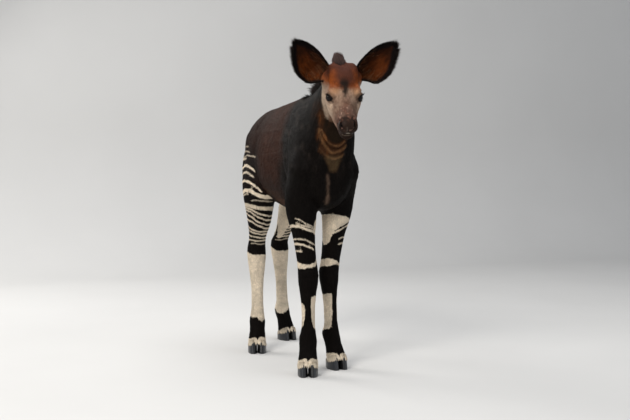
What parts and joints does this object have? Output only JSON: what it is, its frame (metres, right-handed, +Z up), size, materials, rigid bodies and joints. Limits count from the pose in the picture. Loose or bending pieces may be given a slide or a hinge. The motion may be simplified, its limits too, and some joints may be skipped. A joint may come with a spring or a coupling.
{
  "type": "okapi calf",
  "caption": "Life-size still model of a standing okapi calf, head turned aside and ears spread, with striped legs and cloven hooves.",
  "frame": {"origin": "on the ground under the middle of the animal's box, all eight hoof soles at z = 0", "axes": "+Z up, the body faces -Y, its left side at +X"},
  "size_m": [0.3396, 1.1638, 1.1409],
  "materials": {
    "brown_coat": "short dark reddish brown hair with a soft sheen",
    "black_coat": "short near-black hair, banded with white on the legs",
    "white_coat": "short cream-white hair",
    "face_coat": "very short pale tan hair, rust on the forehead, dark on the muzzle",
    "ear_coat": "reddish brown inside with a black fringe",
    "hoof_horn": "smooth slate-grey horn",
    "eye": "wet, near-black"
  },
  "bodies": {
    "root": {"ear_left": "ear_coat", "ear_right": "ear_coat", "eye_left": "eye", "eye_right": "eye", "foreleg_left_claw_left": "hoof_horn", "foreleg_left_claw_right": "hoof_horn", "foreleg_left_lower": "black_coat", "foreleg_left_upper": "black_coat", "foreleg_right_claw_left": "hoof_horn", "foreleg_right_claw_right": "hoof_horn", "foreleg_right_lower": "black_coat", "foreleg_right_upper": "black_coat", "head": "face_coat", "hindleg_left_claw_left": "hoof_horn", "hindleg_left_claw_right": "hoof_horn", "hindleg_left_lower": "white_coat", "hindleg_left_upper": "black_coat", "hindleg_right_claw_left": "hoof_horn", "hindleg_right_claw_right": "hoof_horn", "hindleg_right_lower": "white_coat", "hindleg_right_upper": "black_coat", "neck": "black_coat", "tail": "brown_coat", "torso": "brown_coat"}
  },
  "joints": []
}
